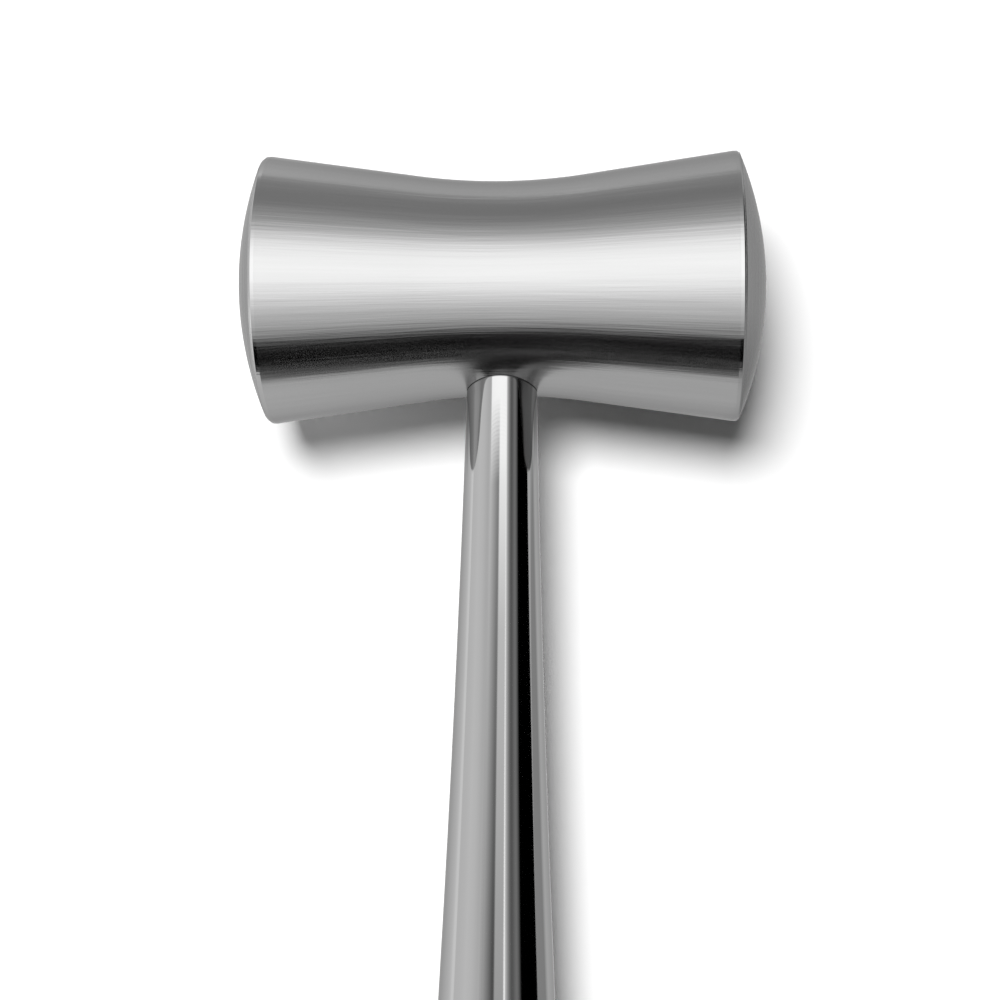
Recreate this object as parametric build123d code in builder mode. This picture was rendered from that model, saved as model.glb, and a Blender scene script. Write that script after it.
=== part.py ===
"""Surgical mallet: a waisted solid steel head on a flared steel handle, lying on its side.

The head's axis is X. The handle leaves the head towards -Y and slopes down to rest on Z = 0.
The origin is under the middle of the whole mallet, on the surface that it lies on.
"""

import os
from math import asin, atan2, cos, degrees, hypot, radians, sin, sqrt, tan

from build123d import *

# Driving dimensions, in millimetres and degrees

# Head: two domed striking faces joined by a waist of cone, arc and cone
face_dia = 30.0
rim_span = 52.5
rim_land = 0.6
rim_break = 0.2
dome_height = 3.1
waist_dia = 24.0
waist_arc_radius = 66.0

# Handle: a slim neck that flares to a thick grip with a rounded butt
neck_dia = 7.8
flare_dia = 13.0
flare_station = 75.0
grip_dia = 16.0
grip_station = 105.0
grip_blend = 200.0
handle_reach = 160.0
butt_round = 3.5
butt_crown_radius = 14.0

# Joint: the neck stands in a counterbore, and a tenon fills a blind bore beyond it
spigot_depth = 3.5
spigot_proud = 0.2
tenon_dia = 6.0
tenon_length = 14.0
tenon_chamfer = 0.5
relief_width = 1.0
relief_depth = 0.3
mouth_clearance = 0.06
bore_clearance = 0.02
bore_end_gap = 0.5
bore_chamfer = 0.4
drill_point_angle = 118.0

# Head sizes worked out from the driving dimensions
face_radius = face_dia / 2
half_span = rim_span / 2
cone_end = half_span - rim_land
dome_radius = (face_radius**2 + dome_height**2) / (2 * dome_height)
dome_angle = degrees(asin(face_radius / dome_radius))

# The waist cone leaves the rim land and meets the waist arc tangentially
waist_radius = waist_dia / 2
waist_centre = waist_radius + waist_arc_radius
centre_rise = waist_centre - face_radius
cone_angle = asin(waist_arc_radius / hypot(cone_end, centre_rise)) - atan2(centre_rise, cone_end)
tangent_x = waist_arc_radius * sin(cone_angle)
tangent_y = waist_centre - waist_arc_radius * cos(cone_angle)

# Stations along the handle, measured from the head's axis
neck_radius = neck_dia / 2
flare_radius = flare_dia / 2
grip_radius = grip_dia / 2
seat = waist_radius - spigot_depth
neck_end = waist_radius + spigot_proud
flare_end = waist_radius + flare_station
grip_start = waist_radius + grip_station
butt = waist_radius + handle_reach

# The butt's crown, centred on the axis, meets the round of its edge tangentially
butt_inset = grip_radius - butt_round
crown_centre = butt - butt_crown_radius
round_centre = crown_centre + sqrt((butt_crown_radius - butt_round)**2 - butt_inset**2)
crown_angle = degrees(asin(butt_inset / (butt_crown_radius - butt_round)))

# Tenon and bore
tenon_radius = tenon_dia / 2
tenon_tip = tenon_length - seat
relief_radius = tenon_radius - relief_depth
mouth_radius = neck_radius + mouth_clearance
bore_radius = tenon_radius + bore_clearance
bore_end = tenon_tip + bore_end_gap
drill_point = bore_radius / tan(radians(drill_point_angle / 2))

# The handle slopes until the round of its butt touches the surface under the head's rims
slope = asin((face_radius - butt_round) / hypot(round_centre, butt_inset)) - atan2(butt_inset, round_centre)

# The head's far side and the butt are as far from the origin as each other
head_y = (crown_centre * cos(slope) + butt_crown_radius - face_radius) / 2

# Working plane: X along the head, Y up the handle, origin at the head's centre
lie = Plane(
    origin=(0, head_y, face_radius),
    x_dir=(1, 0, 0),
    z_dir=(0, -sin(slope), cos(slope)),
)
head_axis = Axis(lie.origin, lie.x_dir)
handle_axis = Axis(lie.origin, lie.y_dir)

# Head: waisted body with domed faces, and the blind socket for the handle
with BuildPart() as head:
    with BuildSketch(lie):
        with BuildLine():
            CenterArc((half_span + dome_height - dome_radius, 0), dome_radius, 0, dome_angle)
            Polyline((half_span, face_radius), (cone_end, face_radius), (tangent_x, tangent_y))
            mirror(about=Plane.YZ)
            ThreePointArc((tangent_x, tangent_y), (0, waist_radius), (-tangent_x, tangent_y))
            Line((-half_span - dome_height, 0), (half_span + dome_height, 0))
        make_face()
    revolve(axis=head_axis)

    # Striking edges, where each dome meets its rim land
    rims = head.edges().filter_by(lambda edge: edge.geom_type == GeomType.CIRCLE
                                  and abs(edge.radius - face_radius) < rim_break)
    chamfer(rims.group_by(Axis.X)[0] + rims.group_by(Axis.X)[-1], length=rim_break)

    # Socket: counterbore for the neck, seat, bored hole for the tenon and its drill point
    with BuildSketch(lie):
        with BuildLine():
            Polyline(
                (0, -face_radius),
                (mouth_radius, -face_radius),
                (mouth_radius, -seat),
                (bore_radius + bore_chamfer, -seat),
                (bore_radius, bore_chamfer - seat),
                (bore_radius, bore_end),
                (0, bore_end + drill_point),
                close=True,
            )
        make_face()
    revolve(axis=handle_axis, mode=Mode.SUBTRACT)
head.part.label = "head"

# Handle: tenon, shoulder, neck, flare, grip and butt turned in one
with BuildPart() as handle:
    with BuildSketch(lie):
        with BuildLine():
            Polyline(
                (0, tenon_tip),
                (tenon_radius - tenon_chamfer, tenon_tip),
                (tenon_radius, tenon_tip - tenon_chamfer),
                (tenon_radius, relief_width - seat),
                (relief_radius, relief_width - seat),
                (relief_radius, -seat),
                (neck_radius, -seat),
                (neck_radius, -neck_end),
            )
            grip = FilletPolyline(
                (flare_radius, -flare_end),
                (grip_radius, -grip_start),
                (grip_radius, -round_centre),
                radius=grip_blend,
            )
            TangentArc(grip @ 0, (neck_radius, -neck_end), tangent=-(grip % 0))
            CenterArc((butt_inset, -round_centre), butt_round, 0, crown_angle - 90)
            CenterArc((0, -crown_centre), butt_crown_radius, -90, crown_angle)
            Line((0, -butt), (0, tenon_tip))
        make_face()
    revolve(axis=handle_axis)
handle.part.label = "handle"

os.makedirs("parts", exist_ok=True)
export_step(head.part, "parts/head.step")
export_step(handle.part, "parts/handle.step")
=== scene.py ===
"""Surgical mallet: a waisted satin steel head on a polished steel handle, lying on a white table."""

from math import asin, atan2, cos, hypot, pi, radians, sin, sqrt, tan

import bmesh
import bpy
from mathutils import Matrix, Vector


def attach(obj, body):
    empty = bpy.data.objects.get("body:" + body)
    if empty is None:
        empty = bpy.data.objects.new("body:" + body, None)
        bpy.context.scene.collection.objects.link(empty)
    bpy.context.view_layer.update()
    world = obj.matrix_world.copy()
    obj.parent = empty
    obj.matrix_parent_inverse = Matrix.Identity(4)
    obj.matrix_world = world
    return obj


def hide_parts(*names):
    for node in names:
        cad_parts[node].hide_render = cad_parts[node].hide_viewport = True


bl_info = {
    "name": "Surgical Mallet",
    "version": (1, 0, 0),
    "blender": (4, 5, 0),
    "location": "View3D > Sidebar > Mallet",
    "description": "Builds the head, the handle and the stage of a surgical mallet around its CAD frame",
    "category": "Object",
}

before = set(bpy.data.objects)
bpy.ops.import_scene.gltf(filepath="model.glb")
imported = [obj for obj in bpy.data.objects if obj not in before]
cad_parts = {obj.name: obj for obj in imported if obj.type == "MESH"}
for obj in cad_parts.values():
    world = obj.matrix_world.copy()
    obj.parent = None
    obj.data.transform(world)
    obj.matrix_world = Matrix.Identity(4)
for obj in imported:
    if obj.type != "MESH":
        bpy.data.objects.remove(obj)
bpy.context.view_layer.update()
MM = 0.001

# Facets round a turned bar and round the cutter of the socket
BAR_TURNS = 256
CUTTER_TURNS = 128
WELD_DISTANCE = 1e-7
SHARP_ANGLE = radians(3.5)
# Keeps a whole number of rings whole when a division rounds it down
ROUNDING_ROOM = 0.25 / 4096

# Repeats of the brushed lines per metre, along the head and round it
FINE_LINES = (45, 5200)
BROAD_LINES = (28, 1100)
# How high the fine lines stand beside the broad ones
FINE_HEIGHT = 0.25
# Repeats of the polishing lines per metre on each axis, and of the haze
POLISH_LINES = (1600, 22, 1600)
POLISH_HAZE = 90.0
# Width of the soft edges between the finishes of the head
FINISH_EDGE = 0.1 * MM
# How far off the waist's surface painted shade darkens the steel in the socket, and on the neck at the
# seam
SOCKET_PAINTED_SHADE = (-0.08 * MM, -0.02 * MM)
SEAM_PAINTED_SHADE = (0, 0.16 * MM)
# How far from the head's middle it is past the socket
SOCKET_EDGE = (4.2 * MM, 4.6 * MM)
# Radius at which the turned circles of a face are as long as the lines along the head
FACE_RING = 6 * MM

# The light tent's levels by direction: in degrees from the back over the top to the front
TENT_OVER = [
    (0, 0.55), (10, 0.44), (20, 0.38), (30, 0.39), (40, 0.53), (50, 0.75), (60, 1.3), (68, 1.8),
    (76, 2.1), (85, 2.25), (100, 2.25), (107, 2.0), (115, 1.75), (125, 1.3), (134, 1.0),
    (144, 0.8), (150, 0.55), (155, 0.2), (158, 0.0),
]
# Its levels by how far a direction leans to the right, for directions that lean far enough
TENT_ACROSS = [
    (-1.0, 0.95), (-0.89, 1.04), (-0.76, 0.99), (-0.6, 0.86), (-0.5, 0.85), (-0.4, 0.9), (0.33, 1.1),
    (0.4, 0.62), (0.47, 0.3), (0.53, 0.18), (0.58, 0.2), (0.64, 0.29), (0.69, 0.33), (0.74, 0.2),
    (0.79, 0.0), (1.0, 0.0),
]
# The same for directions to the front, which the sides of the mallet reflect
TENT_FRONT = [(-1.0, 1.7), (1.0, 0.3)]
TENT_FRONT_START = (-0.12, -0.3)
TENT_LEAN = (0.37, 0.42)
TENT_LEAN_MIDDLE = -0.08
TENT_RADIUS = 1.2
TENT_EYE = (0, 0.06, 0.015)

# The louvre's levels by millimetres along the handle and across it: a bright strip with a dim left side
SLAT_BRIGHT = [(-6, 0.62), (41, 1.07), (62, 1.87)]
SLAT_DIM = [(5, 0.16), (60, 0.5)]
SLAT_LEFT = [(-6.8, 0.5), (-1.8, 0.0)]
SLAT_STRIP = [(-0.9, 0.0), (-0.1, 1.0)]
# How far the louvre has faded, along the handle and across it
LOUVRE_END = [(58, 0.0), (68, 1.0)]
LOUVRE_SIDES = [(-9.5, 1.0), (-7.8, 0.0), (4.2, 0.0), (5.0, 1.0)]
LOUVRE_START = (-2.25 * MM, -119.75 * MM, 30 * MM)

# The table card's levels by millimetres across the mallet, and what its right side takes off them
CARD_ACROSS = [(-120, 1.2), (-15, 0.85)]
CARD_RIGHT = [(24, 0.0), (36, 1.0)]
CARD_RIGHT_ALONG = [(66, 0.4), (80, 0.1)]
# Its shades, by millimetres along the mallet and beside its middle line
FRONT_SHADE = [(-180, 1.0), (-110, 0.0)]
FRONT_SHADE_BESIDE = [(300, 1.0), (500, 0.0)]
GRIP_SHADE = [(-24, 0.8), (0, 0.0)]
GRIP_SHADE_BESIDE = [(20, 1.0), (36, 0.0)]
HEAD_SHADE = [(9, 0.6), (15, 0.0)]
HEAD_SHADE_BESIDE = [(22, 1.0), (30, 0.0)]
HEAD_SHADE_MIDDLE = 78.6
CARD_HALF = 1.1
CARD_HEIGHT = 0.4 * MM

# How much of the panels' light the metal hands on to the table, by millimetres across the mallet
HANDED_ON = [(-20, 2.0), (4, 0.0), (15, 0.0), (30, 0.3)]

TABLE_HALF = 2.0
# Distances between which the table turns into the plain white background
TABLE_FADE = (0.25, 0.6)
LAMP_PLACE = Vector((-0.12, 0.15, 0.90))
LAMP_AIM = Vector((0, 0.05, 0))

# The camera that fits the photograph: its place from the head's middle, its focal length in pixels,
# the pixel where the head's middle shows, its roll, and the picture's size
CAMERA_OFFSET = Vector((11.238, -84.983, 206.123)) * MM
CAMERA_ROLL = -0.0088
FOCAL_PIXELS = 1971.9
HEAD_PIXEL = (502.89, 288.91)
PICTURE_PIXELS = 1000
SENSOR_WIDTH = 36


class Wire:
    """The output of a node. A sum written on it adds the Math nodes that work it out."""

    def __init__(self, tree, socket=None):
        self.tree = tree
        self.socket = socket

    def node(self, kind, settings=None, inputs=None, output=0):
        """Adds a node, with its settings first and then the values or links of its sockets."""
        made = self.tree.nodes.new(kind)
        for name, value in (settings or {}).items():
            setattr(made, name, value)
        for name, value in (inputs or {}).items():
            if isinstance(value, Wire):
                self.tree.links.new(value.socket, made.inputs[name])
            else:
                made.inputs[name].default_value = value
        return Wire(self.tree, made.outputs[output] if made.outputs else None)

    def math(self, operation, *others):
        """A Math node on this number, and on others where the operation needs them."""
        return self.node("ShaderNodeMath", {"operation": operation}, dict(enumerate((self, *others))))

    def __add__(self, other):
        return self.math("ADD", other)

    __radd__ = __add__

    def __sub__(self, other):
        return self.math("SUBTRACT", other)

    def __rsub__(self, other):
        return self.node("ShaderNodeMath", {"operation": "SUBTRACT"}, {0: other, 1: self})

    def __mul__(self, other):
        return self.math("MULTIPLY", other)

    __rmul__ = __mul__

    def __truediv__(self, other):
        return self.math("DIVIDE", other)

    def part(self, axis):
        """One coordinate of a vector: X, Y or Z."""
        return self.node("ShaderNodeSeparateXYZ", inputs={0: self}, output=axis)

    def levels(self, stops):
        """A level for a number, in straight runs through stops of number and level, flat beyond them."""
        low, high = stops[0][0], stops[-1][0]
        peak = max(level for number, level in stops)
        ramp = self.node("ShaderNodeValToRGB", inputs={0: spread(self, low, high)})
        elements = ramp.socket.node.color_ramp.elements
        while len(elements) < len(stops):
            elements.new(0.5)
        for element, (number, level) in zip(elements, stops):
            element.position = (number - low) / (high - low)
            element.color = (level / peak, level / peak, level / peak, 1)
        return ramp * peak


def spread(value, low, high, shape="LINEAR"):
    """A number's share of the way from one end of a range to the other, held between 0 and 1."""
    return value.node(
        "ShaderNodeMapRange", {"interpolation_type": shape},
        {"Value": value, "From Min": low, "From Max": high})


def blend(first, second, share):
    """A number that goes from one to another by a share."""
    return first + (second - first) * share


def arc(centre, radius, start, end, steps):
    """Profile points on an arc, from one angle to another."""
    angles = [start + (end - start) * step / steps for step in range(steps + 1)]
    return [(centre[0] + radius * cos(angle), centre[1] + radius * sin(angle)) for angle in angles]


def line(start, end, steps):
    """Profile points on a straight run, without its two ends."""
    return [
        (start[0] + (end[0] - start[0]) * step / steps, start[1] + (end[1] - start[1]) * step / steps)
        for step in range(1, steps)
    ]


class HeadSizes(bpy.types.PropertyGroup):
    """Sizes and finish of the head."""

    face_diameter: bpy.props.FloatProperty(
        name="Face Diameter", description="Diameter of each striking face",
        default=30 * MM, unit="LENGTH")
    rim_span: bpy.props.FloatProperty(
        name="Rim Span", description="Distance between the two striking edges",
        default=52.5 * MM, unit="LENGTH")
    rim_land: bpy.props.FloatProperty(
        name="Rim Land", description="Width of the straight band at each striking edge",
        default=0.6 * MM, unit="LENGTH")
    rim_break: bpy.props.FloatProperty(
        name="Rim Break", description="Width of the bevel on each striking edge",
        default=0.2 * MM, unit="LENGTH")
    dome_height: bpy.props.FloatProperty(
        name="Dome Height", description="Rise of each striking face at its middle",
        default=3.1 * MM, unit="LENGTH")
    waist_diameter: bpy.props.FloatProperty(
        name="Waist Diameter", description="Diameter of the head at its middle",
        default=24 * MM, unit="LENGTH")
    waist_arc_radius: bpy.props.FloatProperty(
        name="Waist Arc", description="Radius of the hollow along the waist",
        default=66 * MM, unit="LENGTH")
    mouth_clearance: bpy.props.FloatProperty(
        name="Mouth Clearance", description="Gap round the neck at the socket",
        default=0.06 * MM, unit="LENGTH")
    bore_diameter: bpy.props.FloatProperty(
        name="Bore Diameter", description="Diameter of the bore for the tenon",
        default=6.04 * MM, unit="LENGTH")
    bore_chamfer: bpy.props.FloatProperty(
        name="Bore Chamfer", description="Chamfer where the bore opens into the mouth",
        default=0.4 * MM, unit="LENGTH")
    bore_end: bpy.props.FloatProperty(
        name="Bore End", description="Depth of the bore beyond the head's axis",
        default=6 * MM, unit="LENGTH")
    drill_point: bpy.props.FloatProperty(
        name="Drill Point", description="Length of the cone that ends the bore",
        default=1.815 * MM, unit="LENGTH")
    steel: bpy.props.FloatVectorProperty(
        name="Steel", description="Colour of the satin steel",
        default=(0.42, 0.42, 0.42), subtype="COLOR")
    edge_tint: bpy.props.FloatProperty(
        name="Edge Tint", description="Brightness of the satin steel seen at a grazing angle",
        default=0.55, subtype="FACTOR")
    roughness: bpy.props.FloatProperty(
        name="Roughness", description="Roughness of the satin steel at its smoothest",
        default=0.13, subtype="FACTOR")


class HandleSizes(bpy.types.PropertyGroup):
    """Sizes and finish of the handle. Stations are measured from the head's axis."""

    neck_diameter: bpy.props.FloatProperty(
        name="Neck Diameter", description="Diameter where the handle enters the head",
        default=7.8 * MM, unit="LENGTH")
    flare_diameter: bpy.props.FloatProperty(
        name="Flare Diameter", description="Diameter at the end of the hollow flare",
        default=13 * MM, unit="LENGTH")
    grip_diameter: bpy.props.FloatProperty(
        name="Grip Diameter", description="Diameter of the grip",
        default=16 * MM, unit="LENGTH")
    neck_end: bpy.props.FloatProperty(
        name="Neck End", description="Station where the straight neck ends",
        default=12.2 * MM, unit="LENGTH")
    flare_end: bpy.props.FloatProperty(
        name="Flare End", description="Station where the hollow flare ends",
        default=87 * MM, unit="LENGTH")
    grip_start: bpy.props.FloatProperty(
        name="Grip Start", description="Station where the straight grip would start",
        default=117 * MM, unit="LENGTH")
    butt: bpy.props.FloatProperty(
        name="Butt", description="Station of the handle's far end",
        default=172 * MM, unit="LENGTH")
    grip_blend: bpy.props.FloatProperty(
        name="Grip Blend", description="Radius between the flare and the grip",
        default=200 * MM, unit="LENGTH")
    butt_round: bpy.props.FloatProperty(
        name="Butt Round", description="Radius of the butt's edge",
        default=3.5 * MM, unit="LENGTH")
    butt_crown: bpy.props.FloatProperty(
        name="Butt Crown", description="Radius of the butt's crown",
        default=14 * MM, unit="LENGTH")
    seat: bpy.props.FloatProperty(
        name="Seat", description="Station of the shoulder inside the head",
        default=8.5 * MM, unit="LENGTH")
    undercut_width: bpy.props.FloatProperty(
        name="Undercut Width", description="Width of the groove in the tenon at the shoulder",
        default=1 * MM, unit="LENGTH")
    undercut_depth: bpy.props.FloatProperty(
        name="Undercut Depth", description="Depth of the groove in the tenon at the shoulder",
        default=0.3 * MM, unit="LENGTH")
    tenon_diameter: bpy.props.FloatProperty(
        name="Tenon Diameter", description="Diameter of the tenon inside the head",
        default=6 * MM, unit="LENGTH")
    tenon_tip: bpy.props.FloatProperty(
        name="Tenon Tip", description="Reach of the tenon beyond the head's axis",
        default=5.5 * MM, unit="LENGTH")
    tenon_chamfer: bpy.props.FloatProperty(
        name="Tenon Chamfer", description="Chamfer on the tenon's end",
        default=0.5 * MM, unit="LENGTH")
    steel: bpy.props.FloatVectorProperty(
        name="Steel", description="Colour of the polished steel",
        default=(0.45, 0.45, 0.45), subtype="COLOR")
    edge_tint: bpy.props.FloatProperty(
        name="Edge Tint", description="Brightness of the polished steel seen at a grazing angle",
        default=0.6, subtype="FACTOR")
    roughness: bpy.props.FloatProperty(
        name="Roughness", description="Roughness of the polished steel at its smoothest",
        default=0.04, subtype="FACTOR")


class StageSizes(bpy.types.PropertyGroup):
    """Light levels of the stage, and the slats over the handle."""

    lamp_power: bpy.props.FloatProperty(
        name="Lamp Power", description="Power of the soft box",
        default=9.9, unit="POWER")
    lamp_size: bpy.props.FloatProperty(
        name="Lamp Size", description="Diameter of the soft box",
        default=460 * MM, unit="LENGTH")
    air_level: bpy.props.FloatProperty(
        name="Air Level", description="Light from all round that fills the shadows",
        default=0.11)
    table_colour: bpy.props.FloatVectorProperty(
        name="Table", description="Colour of the table",
        default=(0.97, 0.97, 0.97), subtype="COLOR")
    slat_count: bpy.props.IntProperty(
        name="Slat Count", description="Number of slats over the handle",
        default=376)
    slat_pitch: bpy.props.FloatProperty(
        name="Slat Pitch", description="Distance from one slat to the next",
        default=0.5 * MM, unit="LENGTH")
    slat_width: bpy.props.FloatProperty(
        name="Slat Width", description="Width of the slats across the handle",
        default=14.5 * MM, unit="LENGTH")
    slat_drop: bpy.props.FloatProperty(
        name="Slat Drop", description="How far a slat falls from its front edge to its back edge",
        default=0.4 * MM, unit="LENGTH")


def handle_lie():
    """The slope of the handle, and the lie of the head's middle, from both pieces' sizes."""
    head = bpy.context.scene.mallet_head
    handle = bpy.context.scene.mallet_handle
    face = head.face_diameter / 2
    inset = handle.grip_diameter / 2 - handle.butt_round
    crown = handle.butt - handle.butt_crown
    reach = crown + sqrt((handle.butt_crown - handle.butt_round) ** 2 - inset**2)
    slope = asin((face - handle.butt_round) / hypot(reach, inset)) - atan2(inset, reach)
    head_y = (crown * cos(slope) + handle.butt_crown - face) / 2
    return slope, Matrix.Translation((0, head_y, face)) @ Matrix.Rotation(slope, 4, "X")


def rule_start(name, inputs):
    """A node tree that makes a mesh, a start for its nodes, and a wire from each named input."""
    tree = bpy.data.node_groups.new(name, "GeometryNodeTree")
    for label, kind in inputs:
        tree.interface.new_socket(label, in_out="INPUT", socket_type=f"NodeSocket{kind}")
    tree.interface.new_socket("Mesh", in_out="OUTPUT", socket_type="NodeSocketGeometry")
    start = Wire(tree)
    source = start.node("NodeGroupInput").socket.node
    return tree, start, [Wire(tree, source.outputs[label]) for label, kind in inputs]


def rule_end(start, mesh, material):
    """Closes a node tree: its mesh is made real, given its material and put out."""
    mesh = start.node("GeometryNodeRealizeInstances", inputs={0: mesh})
    mesh = start.node("GeometryNodeSetMaterial", inputs={"Geometry": mesh, "Material": material})
    start.node("NodeGroupOutput", inputs={0: mesh})


def turning_tree():
    """The rule for a turned bar: a profile of stations and radii swept round the X axis."""
    tree, start, (profile, turns, weld, steel) = rule_start("turned_bar", [
        ("Profile", "Geometry"), ("Turns", "Int"), ("Weld Distance", "Float"), ("Steel", "Material")])
    stations = start.node("GeometryNodeAttributeDomainSize", {"component": "MESH"}, {0: profile})
    spokes = turns + 1
    grid = start.node("GeometryNodeMeshGrid", inputs={"Vertices X": stations, "Vertices Y": spokes})
    index = start.node("GeometryNodeInputIndex")
    ring = (index / spokes + ROUNDING_ROOM).math("FLOOR")
    spoke = index - ring * spokes
    place = start.node("GeometryNodeInputPosition")
    point = start.node(
        "GeometryNodeSampleIndex", {"data_type": "FLOAT_VECTOR", "domain": "POINT"},
        {"Geometry": profile, "Value": place, "Index": ring})
    angle = spoke * (2 * pi) / turns
    radius = point.part(1)
    swept = start.node(
        "ShaderNodeCombineXYZ",
        inputs={0: point.part(0), 1: radius * angle.math("COSINE"), 2: radius * angle.math("SINE")})
    bar = start.node("GeometryNodeSetPosition", inputs={"Geometry": grid, "Position": swept})
    bar = start.node("GeometryNodeMergeByDistance", inputs={"Geometry": bar, "Distance": weld})
    rule_end(start, bar, steel)
    return tree


def slat_tree():
    """The rule for a louvre: equal slats in a row along Y, each sloping down and facing down."""
    tree, start, (count, pitch, width, drop, card) = rule_start("louvre_slats", [
        ("Count", "Int"), ("Pitch", "Float"), ("Width", "Float"), ("Drop", "Float"),
        ("Card", "Material")])
    step = start.node("ShaderNodeCombineXYZ", inputs={1: pitch})
    row = start.node("GeometryNodeMeshLine", inputs={"Count": count, "Offset": step})
    slat = start.node(
        "GeometryNodeMeshGrid",
        inputs={"Size X": width, "Size Y": pitch, "Vertices X": 2, "Vertices Y": 2})
    slat = start.node("GeometryNodeFlipFaces", inputs={0: slat})
    place = start.node("GeometryNodeInputPosition")
    slope = start.node("ShaderNodeCombineXYZ", inputs={2: place.part(1) * drop / pitch * -1})
    slat = start.node("GeometryNodeSetPosition", inputs={"Geometry": slat, "Offset": slope})
    slats = start.node("GeometryNodeInstanceOnPoints", inputs={"Points": row, "Instance": slat})
    rule_end(start, slats, card)
    return tree


def follow(piece, tree, values):
    """Gives a piece the shape of a node tree, with the tree's inputs set by name."""
    rule = piece.modifiers.new(tree.name, "NODES")
    rule.node_group = tree
    for item in tree.interface.items_tree:
        if item.name in values:
            rule[item.identifier] = values[item.name]


def make_plain(piece):
    """Turns a piece's modifiers into a plain mesh, and returns it."""
    bpy.context.view_layer.update()
    evaluated = piece.evaluated_get(bpy.context.evaluated_depsgraph_get())
    mesh = bpy.data.meshes.new_from_object(evaluated)
    piece.modifiers.clear()
    piece.data = mesh
    return mesh


def added(name, mesh):
    """A new object in the scene."""
    piece = bpy.data.objects.new(name, mesh)
    bpy.context.scene.collection.objects.link(piece)
    return piece


def turned(name, profile, turns, material):
    """An object whose profile the turning tree sweeps into a closed bar about X."""
    mesh = bpy.data.meshes.new(name)
    runs = [(index, index + 1) for index in range(len(profile) - 1)]
    mesh.from_pydata([(station, radius, 0) for station, radius in profile], runs, [])
    piece = added(name, mesh)
    tree = bpy.data.node_groups.get("turned_bar") or turning_tree()
    follow(piece, tree, {"Turns": turns, "Weld Distance": WELD_DISTANCE, "Steel": material})
    return piece


def finish_piece(piece, lie, node):
    """Makes the piece a plain closed mesh in its place, and hands it to the frame."""
    mesh = make_plain(piece)
    mesh.transform(lie)
    shell = bmesh.new()
    shell.from_mesh(mesh)
    bmesh.ops.recalc_face_normals(shell, faces=shell.faces)
    open_edges = sum(1 for edge in shell.edges if not edge.is_manifold)
    if open_edges:
        raise RuntimeError(f"{piece.name} has {open_edges} open edges")
    if shell.calc_volume(signed=True) < 0:
        bmesh.ops.reverse_faces(shell, faces=shell.faces)
    shell.to_mesh(mesh)
    shell.free()
    mesh.shade_smooth()
    mesh.set_sharp_from_angle(angle=SHARP_ANGLE)
    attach(piece, "root")
    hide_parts(node)


def bare_material(name):
    """A material without nodes, a start for them, and the places on its object."""
    material = bpy.data.materials.new(name)
    material.use_nodes = True
    material.node_tree.nodes.clear()
    start = Wire(material.node_tree)
    return material, start, start.node("ShaderNodeTexCoord", output="Object")


def from_head(place):
    """Places measured from the middle of the head."""
    middle = handle_lie()[1].translation
    return place.node("ShaderNodeVectorMath", {"operation": "SUBTRACT"}, {0: place, 1: middle})


def joint_clearance(place):
    """How far a place stands off the waist's surface, in metres. It is negative inside the head."""
    sizes = bpy.context.scene.mallet_head
    across = place.part(0)
    apart = (place.part(1) * place.part(1) + place.part(2) * place.part(2)).math("SQRT")
    hollow = sizes.waist_arc_radius
    sagging = (hollow**2 - across * across).math("SQRT")
    return apart + sagging - (sizes.waist_diameter / 2 + hollow)


def shaded_steel(share, colour):
    """The steel's colour, times a share of no more than one that holds its tone and any painted shade."""
    return share.node(
        "ShaderNodeMix", {"data_type": "RGBA"}, {0: share, 6: (0, 0, 0, 1), 7: (*colour, 1)}, output=2)


def steel_shader(sizes, share, roughness, raised):
    """The shader of a piece's steel, put out to its material."""
    tint = sizes.edge_tint
    shader = share.node(
        "ShaderNodeBsdfPrincipled",
        inputs={
            "Base Color": shaded_steel(share, sizes.steel),
            "Metallic": 1.0,
            "Specular Tint": (tint, tint, tint, 1),
            "Roughness": roughness,
            "Normal": raised,
        })
    share.node("ShaderNodeOutputMaterial", inputs={0: shader})


def brushed(lengthwise, crosswise, repeats, roughness):
    """Noise drawn out along the brushing, by its repeats per metre along it and across it."""
    place = lengthwise.node(
        "ShaderNodeCombineXYZ", inputs={0: lengthwise * repeats[0], 1: crosswise * repeats[1]})
    return place.node(
        "ShaderNodeTexNoise", {"noise_dimensions": "2D"},
        {"Vector": place, "Scale": 1.0, "Detail": 3.0, "Roughness": roughness})


def seen_directly(start):
    """One for what the camera sees, straight, mirrored or through glass, and zero for scattered light."""
    rays = start.node("ShaderNodeLightPath").socket.node.outputs
    camera, glossy, through = [
        Wire(start.tree, rays[f"Is {kind} Ray"]) for kind in ("Camera", "Glossy", "Transmission")]
    return (camera + glossy + through).math("MINIMUM", 1.0)


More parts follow.
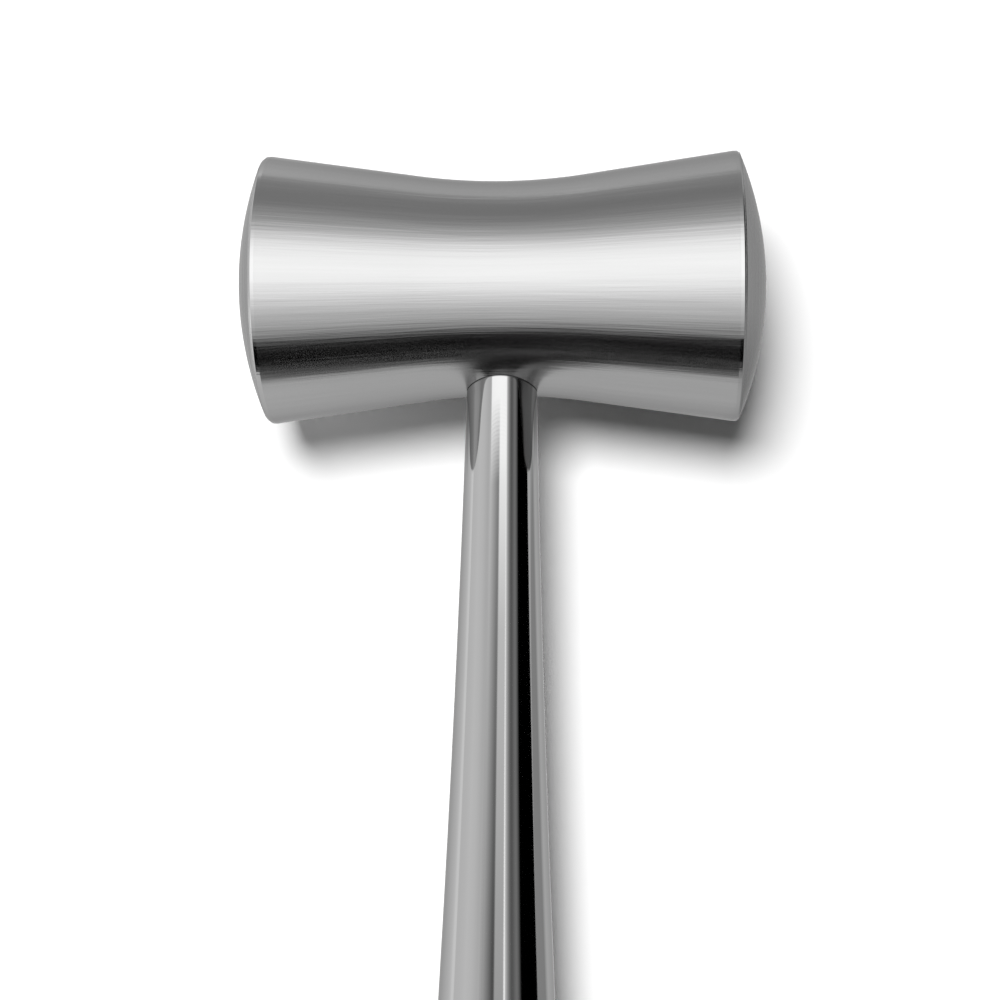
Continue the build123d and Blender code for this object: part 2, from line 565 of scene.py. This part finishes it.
def satin_steel():
    """Steel brushed along the head, turned circles on the faces, brighter worn rims, painted shade in the
    socket.
    """
    sizes = bpy.context.scene.mallet_head
    span = sizes.rim_span / 2
    material, start, place = bare_material("satin_steel_finish")
    place = from_head(place)
    across, back, up = place.part(0), place.part(1), place.part(2)
    turn = back.math("ARCTAN2", up)
    apart = (back * back + up * up).math("SQRT")
    beyond = across.math("ABSOLUTE")
    on_face = spread(beyond, span - FINISH_EDGE, span)
    lengthwise = blend(across, turn * FACE_RING, on_face)
    crosswise = blend(turn * (sizes.waist_diameter / 2), apart, on_face)
    fine = brushed(lengthwise, crosswise, FINE_LINES, 0.65)
    broad = brushed(lengthwise, crosswise, BROAD_LINES, 0.6)
    raised = start.node(
        "ShaderNodeBump",
        inputs={"Strength": 1.0, "Distance": 0.02 * MM, "Height": fine * FINE_HEIGHT + broad})
    rim = spread(beyond, span - sizes.rim_land, span - sizes.rim_land + FINISH_EDGE)
    worn = rim * (1 - on_face)
    # Painted shade: the steel is darkened inside the socket, below the waist's surface, and only near the
    # head's middle.
    clear_of_painted_shade = spread(joint_clearance(place), *SOCKET_PAINTED_SHADE)
    clear_of_painted_shade = clear_of_painted_shade.math("MAXIMUM", spread(beyond, *SOCKET_EDGE))
    share = clear_of_painted_shade * (0.9 + broad * 0.1 + worn * 0.1)
    roughness = sizes.roughness + fine * 0.05 + broad * 0.06 + on_face * 0.08 - worn * 0.06
    steel_shader(sizes, share, roughness, raised)
    return material


def polished_steel():
    """Mirror-polished steel with faint lines along the handle, and painted shade where it meets the head.
    """
    sizes = bpy.context.scene.mallet_handle
    material, start, place = bare_material("polished_steel_finish")
    place = from_head(place)
    lines = start.node("ShaderNodeMapping", inputs={"Vector": place, "Scale": POLISH_LINES})
    lines = start.node(
        "ShaderNodeTexNoise", inputs={"Vector": lines, "Scale": 1.0, "Detail": 3.0, "Roughness": 0.6})
    haze = start.node(
        "ShaderNodeTexNoise",
        inputs={"Vector": place, "Scale": POLISH_HAZE, "Detail": 4.0, "Roughness": 0.55})
    raised = start.node(
        "ShaderNodeBump", inputs={"Strength": 0.05, "Distance": 0.01 * MM, "Height": lines})
    # Painted shade: the neck is darkened, and made rougher, where it enters the head, to draw a dark
    # seam.
    clear_of_painted_shade = spread(joint_clearance(place), *SEAM_PAINTED_SHADE)
    share = clear_of_painted_shade * (0.96 + haze * 0.08)
    roughness = sizes.roughness + haze * 0.05 + (1 - clear_of_painted_shade) * 0.4
    steel_shader(sizes, share, roughness, raised)
    return material


def head_profile():
    """The head's outline in stations and radii, from the tip of one dome to the tip of the other."""
    sizes = bpy.context.scene.mallet_head
    face = sizes.face_diameter / 2
    span = sizes.rim_span / 2
    waist = sizes.waist_arc_radius
    dome = (face**2 + sizes.dome_height**2) / (2 * sizes.dome_height)
    dome_middle = span + sizes.dome_height - dome
    dome_edge = asin(face / dome) - sizes.rim_break / dome
    cone_end = span - sizes.rim_land
    waist_middle = sizes.waist_diameter / 2 + waist
    rise = waist_middle - face
    cone = asin(waist / hypot(cone_end, rise)) - atan2(rise, cone_end)
    cone_start = (waist * sin(cone), waist_middle - waist * cos(cone))
    half = arc((0, waist_middle), waist, -pi / 2, -pi / 2 + cone, steps=24)
    half += line(cone_start, (cone_end, face), steps=16)
    half += [(cone_end, face), (span - sizes.rim_break, face)]
    half += arc((dome_middle, 0), dome, dome_edge, 0, steps=40)
    return [(-station, radius) for station, radius in reversed(half[1:])] + half


def socket_profile():
    """The outline of the cutter for the socket, from the drill's point to outside the head."""
    sizes = bpy.context.scene.mallet_head
    handle = bpy.context.scene.mallet_handle
    outside = sizes.face_diameter / 2
    mouth = handle.neck_diameter / 2 + sizes.mouth_clearance
    bore = sizes.bore_diameter / 2
    return [
        (-sizes.bore_end - sizes.drill_point, 0),
        (-sizes.bore_end, bore),
        (handle.seat - sizes.bore_chamfer, bore),
        (handle.seat, bore + sizes.bore_chamfer),
        (handle.seat, mouth),
        (outside, mouth),
        (outside, 0),
    ]


def handle_profile():
    """The handle's outline in stations and radii, from the tip of the tenon to the butt."""
    sizes = bpy.context.scene.mallet_handle
    neck = sizes.neck_diameter / 2
    flare = sizes.flare_diameter / 2
    grip = sizes.grip_diameter / 2
    tenon = sizes.tenon_diameter / 2
    groove = tenon - sizes.undercut_depth
    groove_start = sizes.seat - sizes.undercut_width
    taper = atan2(grip - flare, sizes.grip_start - sizes.flare_end)

    chord_x = sizes.flare_end - sizes.neck_end
    chord_y = flare - neck
    turn = taper - atan2(chord_y, chord_x)
    hollow = hypot(chord_x, chord_y) / (2 * sin(turn))
    hollow_middle = (sizes.flare_end - hollow * sin(taper), flare + hollow * cos(taper))
    blend_half = sizes.grip_blend * tan(taper / 2)
    blend_x = sizes.grip_start + blend_half
    blend_y = grip - sizes.grip_blend
    blend_start = (blend_x - sizes.grip_blend * sin(taper), blend_y + sizes.grip_blend * cos(taper))
    inset = grip - sizes.butt_round
    crown_middle = sizes.butt - sizes.butt_crown
    round_middle = crown_middle + sqrt((sizes.butt_crown - sizes.butt_round) ** 2 - inset**2)
    crown_edge = asin(inset / (sizes.butt_crown - sizes.butt_round))

    profile = [
        (-sizes.tenon_tip, 0.0),
        (-sizes.tenon_tip, tenon - sizes.tenon_chamfer),
        (-sizes.tenon_tip + sizes.tenon_chamfer, tenon),
        (groove_start, tenon),
        (groove_start, groove),
        (sizes.seat, groove),
        (sizes.seat, neck),
    ]
    profile += arc(hollow_middle, hollow, -pi / 2 + taper - 2 * turn, -pi / 2 + taper, steps=48)
    profile += line((sizes.flare_end, flare), blend_start, steps=12)
    profile += arc((blend_x, blend_y), sizes.grip_blend, pi / 2 + taper, pi / 2, steps=12)
    profile += line((blend_x, grip), (round_middle, grip), steps=24)
    profile += arc((round_middle, inset), sizes.butt_round, pi / 2, crown_edge, steps=28)
    profile += arc((crown_middle, 0), sizes.butt_crown, crown_edge, 0, steps=16)[1:]
    return profile


class MALLET_OT_head(bpy.types.Operator):
    """Builds the waisted head with its domed faces and blind socket"""

    bl_idname = "mallet.head"
    bl_label = "Head"

    def execute(self, context):
        steel = satin_steel()
        piece = turned("mallet_head", head_profile(), BAR_TURNS, steel)
        cutter = turned("mallet_drill", socket_profile(), CUTTER_TURNS, steel)
        cutter.rotation_euler = (0, 0, -pi / 2)
        context.view_layer.update()
        cut = piece.modifiers.new("socket", "BOOLEAN")
        cut.operation = "DIFFERENCE"
        cut.solver = "EXACT"
        cut.object = cutter
        finish_piece(piece, handle_lie()[1], "head")
        bpy.data.objects.remove(cutter)
        return {"FINISHED"}


class MALLET_OT_handle(bpy.types.Operator):
    """Builds the tenon, the neck, the flare, the grip and the butt as one turned bar"""

    bl_idname = "mallet.handle"
    bl_label = "Handle"

    def execute(self, context):
        piece = turned("mallet_handle", handle_profile(), BAR_TURNS, polished_steel())
        lie = handle_lie()[1] @ Matrix.Rotation(-pi / 2, 4, "Z")
        finish_piece(piece, lie, "handle")
        return {"FINISHED"}


def tent_level(place):
    """How bright the tent is, by the direction of a place on it from the mallet."""
    toward = place.node("ShaderNodeVectorMath", {"operation": "SUBTRACT"}, {0: place, 1: TENT_EYE})
    toward = toward.node("ShaderNodeVectorMath", {"operation": "NORMALIZE"}, {0: toward})
    side, back, up = toward.part(0), toward.part(1), toward.part(2)
    over = up.math("ARCTAN2", back).math("DEGREES").levels(TENT_OVER)
    across = blend(side.levels(TENT_ACROSS), side.levels(TENT_FRONT), spread(back, *TENT_FRONT_START))
    lean = (side - TENT_LEAN_MIDDLE).math("ABSOLUTE")
    return blend(over, across, spread(lean, *TENT_LEAN, "SMOOTHSTEP"))


def slat_level(place):
    """How bright a slat is: a bright strip over the right of the handle, and dim on the left."""
    across, along = place.part(0) / MM, place.part(1) / MM
    dim = along.levels(SLAT_DIM) + across.levels(SLAT_LEFT)
    return blend(dim, along.levels(SLAT_BRIGHT), across.levels(SLAT_STRIP))


def slat_fade(place):
    """How far the louvre has faded, towards the head and at both sides."""
    across, along = place.part(0) / MM, place.part(1) / MM
    return along.levels(LOUVRE_END).math("MAXIMUM", across.levels(LOUVRE_SIDES))


def card_level(place):
    """How bright the table card is: shaded far to the front, under the grip and under the head."""
    across, along = place.part(0) / MM, place.part(1) / MM
    beside = across.math("ABSOLUTE")
    off_head = (along - HEAD_SHADE_MIDDLE).math("ABSOLUTE")
    front = along.levels(FRONT_SHADE) * beside.levels(FRONT_SHADE_BESIDE)
    grip = along.levels(GRIP_SHADE) * beside.levels(GRIP_SHADE_BESIDE) * (1 - front)
    head = off_head.levels(HEAD_SHADE) * beside.levels(HEAD_SHADE_BESIDE)
    right = across.levels(CARD_RIGHT) * along.levels(CARD_RIGHT_ALONG)
    return (across.levels(CARD_ACROSS) - right) * (1 - (front + grip + head))


def glow(name, level_of, fade_of=None):
    """A material that glows on its front only. Its level and fading depend on the place on it."""
    material, start, place = bare_material(name)
    material.cycles.emission_sampling = "NONE"
    after_table = spread(start.node("ShaderNodeLightPath", output="Diffuse Depth"), 0, 1)
    handed_on = blend(1, (place.part(0) / MM).levels(HANDED_ON), after_table)
    light = start.node("ShaderNodeEmission", inputs={"Strength": level_of(place) * handed_on})
    unseen = start.node("ShaderNodeNewGeometry", output="Backfacing")
    if fade_of:
        unseen = unseen.math("MAXIMUM", fade_of(place))
    clear = start.node("ShaderNodeBsdfTransparent")
    shader = start.node("ShaderNodeMixShader", inputs={0: unseen, 1: light, 2: clear})
    start.node("ShaderNodeOutputMaterial", inputs={0: shader})
    return material


def square(half, height=0.0):
    """A shell of one square face that looks up."""
    shell = bmesh.new()
    lift = Matrix.Translation((0, 0, height))
    bmesh.ops.create_grid(shell, x_segments=1, y_segments=1, size=half, matrix=lift)
    return shell


def staged(name, shell, material):
    """An object of the stage, from a finished shell."""
    mesh = bpy.data.meshes.new(name)
    shell.to_mesh(mesh)
    shell.free()
    mesh.materials.append(material)
    piece = added(name, mesh)
    return piece


def only_reflected(panel):
    """Hides a panel from everything but reflections."""
    panel.visible_camera = False
    panel.visible_diffuse = False
    panel.visible_shadow = False
    panel.visible_transmission = False


class MALLET_OT_stage(bpy.types.Operator):
    """Builds the table, the panels that the steel reflects, the lamp and the camera"""

    bl_idname = "mallet.stage"
    bl_label = "Stage"

    def execute(self, context):
        sizes = context.scene.mallet_stage
        self.table(sizes)
        self.panels()
        self.louvre(sizes)
        self.air(context, sizes)
        self.lamp(sizes)
        self.camera(context)
        return {"FINISHED"}

    def table(self, sizes):
        """A pale table that turns into plain white for the camera further off."""
        material, start, place = bare_material("white_table")
        near = start.node("ShaderNodeBsdfDiffuse", inputs={"Color": (*sizes.table_colour, 1)})
        away = place.node("ShaderNodeVectorMath", {"operation": "LENGTH"}, {0: place}, output=1)
        far = start.node("ShaderNodeEmission", inputs={"Strength": 1.0})
        share = seen_directly(start) * spread(away, *TABLE_FADE)
        shader = start.node("ShaderNodeMixShader", inputs={0: share, 1: near, 2: far})
        start.node("ShaderNodeOutputMaterial", inputs={0: shader})
        staged("table", square(TABLE_HALF), material)

    def panels(self):
        """The tent round the mallet and the card just over the table."""
        tent = bmesh.new()
        bmesh.ops.create_uvsphere(tent, u_segments=64, v_segments=32, radius=TENT_RADIUS)
        below = [corner for corner in tent.verts if corner.co.z < -MM]
        bmesh.ops.delete(tent, geom=below, context="VERTS")
        bmesh.ops.reverse_faces(tent, faces=tent.faces)
        only_reflected(staged("light_tent", tent, glow("light_tent", tent_level)))
        card = square(CARD_HALF, CARD_HEIGHT)
        only_reflected(staged("table_card", card, glow("table_card", card_level)))

    def louvre(self, sizes):
        """A row of slats over the handle, which its top reflects and the head looks between."""
        slats = added("handle_louvre", bpy.data.meshes.new("handle_louvre"))
        follow(slats, slat_tree(), {
            "Count": sizes.slat_count,
            "Pitch": sizes.slat_pitch,
            "Width": sizes.slat_width,
            "Drop": sizes.slat_drop,
            "Card": glow("handle_louvre", slat_level, slat_fade),
        })
        make_plain(slats).transform(Matrix.Translation(LOUVRE_START))
        only_reflected(slats)

    def air(self, context, sizes):
        """A white background that lights the shadows a little, more from the left."""
        world = bpy.data.worlds.new("studio_air")
        context.scene.world = world
        world.use_nodes = True
        world.node_tree.nodes.clear()
        start = Wire(world.node_tree)
        side = start.node("ShaderNodeTexCoord", output="Generated").part(0)
        level = blend((1 - side) * sizes.air_level, 1, seen_directly(start))
        light = start.node("ShaderNodeBackground", inputs={"Color": (1, 1, 1, 1), "Strength": level})
        start.node("ShaderNodeOutputWorld", inputs={0: light})

    def lamp(self, sizes):
        """A round soft box above, which the steel doesn't reflect."""
        lamp = bpy.data.lights.new("soft_box", "AREA")
        lamp.shape = "DISK"
        lamp.size = sizes.lamp_size
        lamp.energy = sizes.lamp_power
        box = added("soft_box", lamp)
        box.location = LAMP_PLACE
        box.rotation_euler = (LAMP_AIM - LAMP_PLACE).to_track_quat("-Z", "Y").to_euler()
        box.visible_glossy = False

    def camera(self, context):
        """A camera at the photograph's angle, so that the head's middle falls on its pixel."""
        slope, lie = handle_lie()
        toward = CAMERA_OFFSET.normalized()
        handle_line = Vector((0, cos(slope), sin(slope)))
        right = handle_line.cross(toward).normalized()
        level = Matrix((right, toward.cross(right), toward))
        middle = PICTURE_PIXELS / 2
        sight = Vector((
            (HEAD_PIXEL[0] - middle) / FOCAL_PIXELS, (middle - HEAD_PIXEL[1]) / FOCAL_PIXELS, -1))
        aim = Vector((0, 0, -1)).rotation_difference(sight.normalized()).to_matrix()
        turn = aim @ Matrix.Rotation(CAMERA_ROLL, 3, "Z") @ level
        lens = bpy.data.cameras.new("camera")
        lens.sensor_width = SENSOR_WIDTH
        lens.lens = FOCAL_PIXELS / PICTURE_PIXELS * SENSOR_WIDTH
        lens.clip_start = 0.01
        lens.clip_end = 20
        camera = added("camera", lens)
        place = Matrix.Translation(lie.translation + CAMERA_OFFSET)
        camera.matrix_world = place @ turn.transposed().to_4x4()
        context.scene.camera = camera
        context.scene.view_settings.view_transform = "Standard"


class MALLET_PT_pieces(bpy.types.Panel):
    """Lists the pieces of the mallet and their sizes"""

    bl_idname = "MALLET_PT_pieces"
    bl_label = "Surgical Mallet"
    bl_space_type = "VIEW_3D"
    bl_region_type = "UI"
    bl_category = "Mallet"

    def draw(self, context):
        for piece in ("head", "handle", "stage"):
            sizes = getattr(context.scene, f"mallet_{piece}")
            for name in sizes.__annotations__:
                self.layout.prop(sizes, name)
            self.layout.operator(f"mallet.{piece}")


CLASSES = (
    HeadSizes, HandleSizes, StageSizes,
    MALLET_OT_head, MALLET_OT_handle, MALLET_OT_stage, MALLET_PT_pieces,
)


def register():
    for item in CLASSES:
        bpy.utils.register_class(item)
    bpy.types.Scene.mallet_head = bpy.props.PointerProperty(type=HeadSizes)
    bpy.types.Scene.mallet_handle = bpy.props.PointerProperty(type=HandleSizes)
    bpy.types.Scene.mallet_stage = bpy.props.PointerProperty(type=StageSizes)


def unregister():
    del bpy.types.Scene.mallet_head
    del bpy.types.Scene.mallet_handle
    del bpy.types.Scene.mallet_stage
    for item in reversed(CLASSES):
        bpy.utils.unregister_class(item)


def main():
    register()
    bpy.ops.mallet.head()
    bpy.ops.mallet.handle()
    bpy.ops.mallet.stage()


if __name__ == "__main__":
    main()
